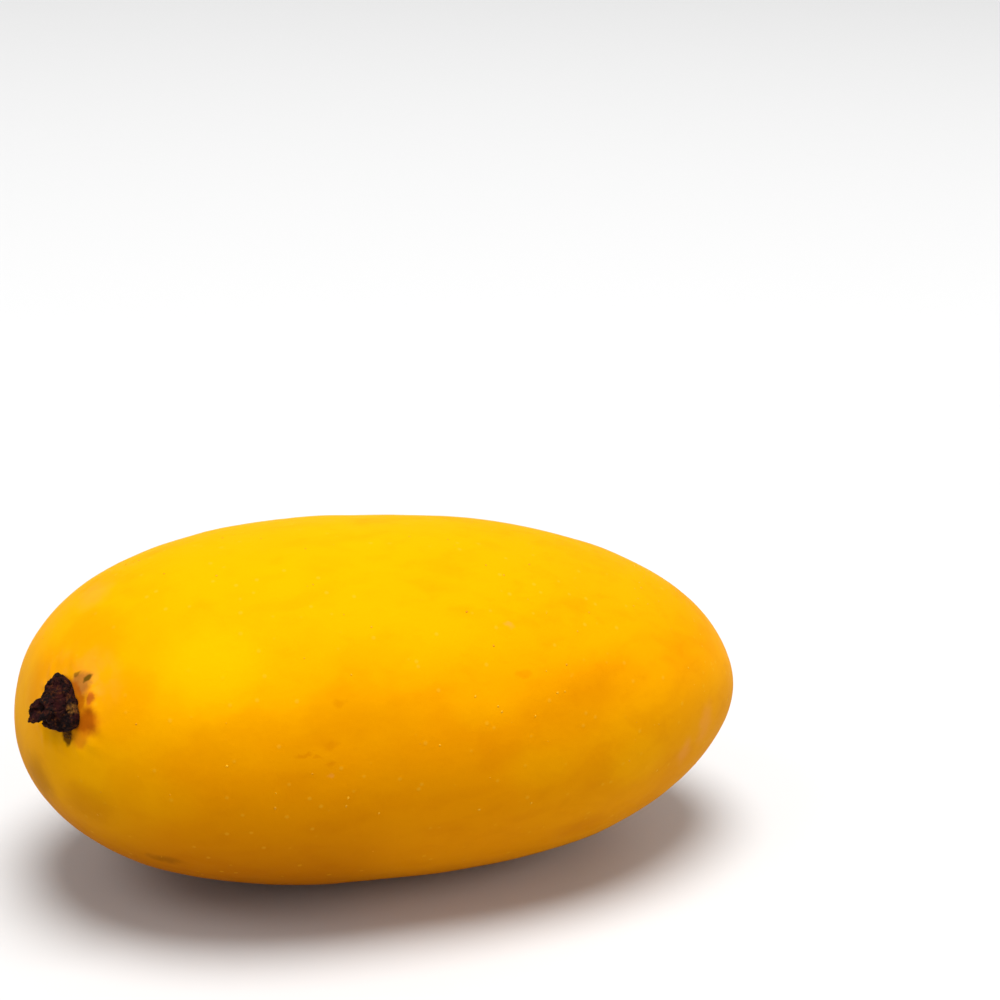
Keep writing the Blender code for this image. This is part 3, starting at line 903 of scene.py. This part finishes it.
def makeScatterTree():
    # small grains over a surface, flattened along its normal, turned and stretched at random
    tree, given, result = newTree("scatterGrains", [
        ("Density", "NodeSocketFloat"), ("Smallest", "NodeSocketFloat"), ("Largest", "NodeSocketFloat"),
        ("Flatness", "NodeSocketFloat"), ("Raggedness", "NodeSocketFloat"), ("Seed", "NodeSocketInt"),
        ("Finish", "NodeSocketMaterial")])
    chosen = addNode(tree, "GeometryNodeInputNamedAttribute", {"Name": "grains"}, data_type="FLOAT")
    density = calculate(tree, "MULTIPLY", given["Density"], chosen.outputs[0])
    points = addNode(tree, "GeometryNodeDistributePointsOnFaces",
                     {"Mesh": given["Geometry"], "Density": density, "Seed": given["Seed"]})
    grain = addNode(tree, "GeometryNodeMeshIcoSphere", {"Radius": 1.0, "Subdivisions": 1})
    # sockets 2 and 3 are the random value's smallest and largest number, and 8 its seed
    size = addNode(tree, "FunctionNodeRandomValue",
                   {2: given["Smallest"], 3: given["Largest"], 8: given["Seed"]}, data_type="FLOAT")
    stretch = addNode(tree, "FunctionNodeRandomValue",
                      {2: grainForm["shortest"], 3: grainForm["longest"], 8: 3}, data_type="FLOAT")
    spin = addNode(tree, "FunctionNodeRandomValue", {2: 0.0, 3: 2.0 * math.pi, 8: 7}, data_type="FLOAT")
    long = calculate(tree, "MULTIPLY", size.outputs[1], stretch.outputs[1])
    thin = calculate(tree, "MULTIPLY", size.outputs[1], given["Flatness"])
    scale = addNode(tree, "ShaderNodeCombineXYZ", {0: size.outputs[1], 1: long, 2: thin})
    turned = addNode(tree, "ShaderNodeCombineXYZ", {2: spin.outputs[1]})
    turned = addNode(tree, "FunctionNodeEulerToRotation", {0: turned.outputs[0]})
    rotation = addNode(tree, "FunctionNodeRotateRotation",
                       {0: points.outputs["Rotation"], 1: turned.outputs[0]}, rotation_space="LOCAL")
    placed = addNode(tree, "GeometryNodeInstanceOnPoints",
                     {"Points": points.outputs["Points"], "Instance": grain.outputs[0],
                      "Rotation": rotation.outputs[0], "Scale": scale.outputs[0]})
    whole = addNode(tree, "GeometryNodeRealizeInstances", {"Geometry": placed.outputs[0]})
    place = tree.nodes.new("GeometryNodeInputPosition").outputs[0]
    lumps = addNode(tree, "ShaderNodeTexNoise",
                    {"Vector": place, "Scale": 1.0 / grainForm["lumpSize"], "Detail": 1.0})
    push = addNode(tree, "ShaderNodeVectorMath", {0: lumps.outputs["Color"], 1: (0.5, 0.5, 0.5)},
                   operation="SUBTRACT")
    push = addNode(tree, "ShaderNodeVectorMath", {0: push.outputs[0], "Scale": given["Raggedness"]},
                   operation="SCALE")
    ragged = addNode(tree, "GeometryNodeSetPosition", {"Geometry": whole.outputs[0],
                                                       "Offset": push.outputs[0]})
    dressed = addNode(tree, "GeometryNodeSetMaterial", {"Geometry": ragged.outputs[0],
                                                        "Material": given["Finish"]})
    tree.links.new(dressed.outputs[0], result["Geometry"])
    return tree


def grainsWhere(piece, rule):
    # a share from 0 to 1 at each point of the piece, which sets how thick its grains lie
    layer = piece.data.attributes.get("grains")
    if layer is None:
        layer = piece.data.attributes.new("grains", "FLOAT", "POINT")
    layer.data.foreach_set("value", [rule(vert.co) for vert in piece.data.vertices])


def speckShare(point):
    # none where it lies on the table or round the stalk, more of them towards the tip
    fromStalk = (point - stalkPlace.translation).length
    least = grainReach["specksAtStalkEnd"]
    share = least + (1.0 - least) * smoothStep(point.x, *grainReach["specksAlong"])
    share *= smoothStep(point.z, *grainReach["specksAboveTable"])
    return share * smoothStep(fromStalk, *grainReach["specksFromStalk"])


def scabShare(point):
    # dried sap that has run down from the button
    local = stalkPlace.inverted() @ point
    share = 0.0
    if abs(local.z) < grainReach["sapDepth"]:
        for down, side, radius in scabSpots:
            away = math.hypot(local.x / mm - down, local.y / mm - side)
            share = max(share, 1.0 - smoothStep(away, 0.6 * radius, radius))
    return share


def crumbShare(point):
    # on the button's top and rim, few on the stub
    local = stalkPlace.inverted() @ point
    reach = math.hypot(local.x, local.y)
    onTop = smoothStep(local.z, *grainReach["crumbsUp"])
    least = grainReach["crumbsOnStub"]
    return onTop * (least + (1.0 - least) * smoothStep(reach, *grainReach["crumbsOut"]))


scatterTree = makeScatterTree()
grainsWhere(skin, speckShare)
specks = meshFromTree(skin, scatterTree, {**scatterSizes["specks"], "Finish": speck}, "skinSpecks")
smoothShaded(specks.data)
grainsWhere(skin, scabShare)
scabs = meshFromTree(skin, scatterTree, {**scatterSizes["scabs"], "Finish": sap}, "sapScabs")
grainsWhere(stalk, crumbShare)
crumbs = meshFromTree(stalk, scatterTree, {**scatterSizes["crumbs"], "Finish": bark}, "stalkCrumbs")
print("faces of the specks, scabs and crumbs:",
      [len(piece.data.polygons) for piece in (specks, scabs, crumbs)])

for piece in (skin, specks, scabs, stalk, crumbs):
    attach(piece, "root")
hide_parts("fruit")
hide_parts("stem_stub")


# The table, the light and the camera.

studio = {
    "tableSize": 14.0,
    "tableColour": (0.62, 0.62, 0.62, 1.0),
    "tableRoughness": 0.8,
    "tableSpecular": 0.1,
    "skyStrength": 0.375,
    "lightDistance": 2.0,
    # degrees to the right of the camera, degrees up, width in metres and power in watts
    "lights": {
        "overhead": (0.0, 86.0, 1.2, 50.0),
        "tipSide": (80.0, 25.0, 1.0, 8.0),
        "stalkSide": (-60.0, 48.0, 0.9, 5.6),
        "behind": (135.0, 38.0, 0.9, 3.0),
    },
}

camera = {
    "turn": 18.0,                                    # degrees to the stalk's side
    "height": 22.0,                                  # degrees above the table
    "roll": 2.5,
    "distance": 419.0 * mm,
    "across": 20.32 * mm,                            # of the line of sight from the fruit's middle
    "above": 34.26 * mm,
    "lens": 85.0,                                    # of the lens and the sensor, in millimetres
    "sensor": 36.0,
    "nearest": 0.01,                                 # what it sees at least and at most, in metres
    "farthest": 20.0,
}


def makeTable():
    half = studio["tableSize"] / 2.0
    mesh = bpy.data.meshes.new("tableTop")
    mesh.from_pydata([(-half, -half, 0.0), (half, -half, 0.0), (half, half, 0.0), (-half, half, 0.0)],
                     [], [(0, 1, 2, 3)])
    material, tree, shader = newMaterial("paleTable")
    shader.inputs["Base Color"].default_value = studio["tableColour"]
    shader.inputs["Roughness"].default_value = studio["tableRoughness"]
    shader.inputs["Specular IOR Level"].default_value = studio["tableSpecular"]
    mesh.materials.append(material)
    table = objectFrom(mesh, "tableTop")


def makeLight(name, right, up, size, power):
    turn = math.radians(right - camera["turn"])
    rise = math.radians(up)
    offset = Vector((math.sin(turn) * math.cos(rise), -math.cos(turn) * math.cos(rise), math.sin(rise)))
    data = bpy.data.lights.new(name, "AREA")
    data.shape = "DISK"
    data.size = size
    data.energy = power
    light = bpy.data.objects.new(name, data)
    light.location = mangoShape["middle"] + offset * studio["lightDistance"]
    light.rotation_mode = "QUATERNION"
    light.rotation_quaternion = (-offset).to_track_quat("-Z", "Y")
    bpy.context.scene.collection.objects.link(light)


def makeSky():
    world = bpy.data.worlds.new("paleRoom")
    world.use_nodes = True
    background = world.node_tree.nodes["Background"]
    background.inputs["Color"].default_value = (1.0, 1.0, 1.0, 1.0)
    background.inputs["Strength"].default_value = studio["skyStrength"]
    bpy.context.scene.world = world


def makeCamera():
    turn = math.radians(camera["turn"])
    height = math.radians(camera["height"])
    roll = math.radians(camera["roll"])
    back = Vector((-math.sin(turn) * math.cos(height), -math.cos(turn) * math.cos(height),
                   math.sin(height)))
    levelRight = Vector((math.cos(turn), -math.sin(turn), 0.0))
    levelUp = back.cross(levelRight)
    right = levelRight * math.cos(roll) + levelUp * math.sin(roll)
    up = levelUp * math.cos(roll) - levelRight * math.sin(roll)
    data = bpy.data.cameras.new("photoView")
    data.lens = camera["lens"]
    data.sensor_width = camera["sensor"]
    data.clip_start = camera["nearest"]
    data.clip_end = camera["farthest"]
    view = bpy.data.objects.new("photoView", data)
    place = Matrix((right, up, back)).transposed().to_4x4()
    place.translation = (mangoShape["middle"] + right * camera["across"] + up * camera["above"]
                         + back * camera["distance"])
    view.matrix_world = place
    bpy.context.scene.collection.objects.link(view)
    bpy.context.scene.camera = view


makeTable()
for name, settings in studio["lights"].items():
    makeLight(name, *settings)
makeSky()
makeCamera()
bpy.context.scene.view_settings.view_transform = "Standard"
print("table, lights and camera made")
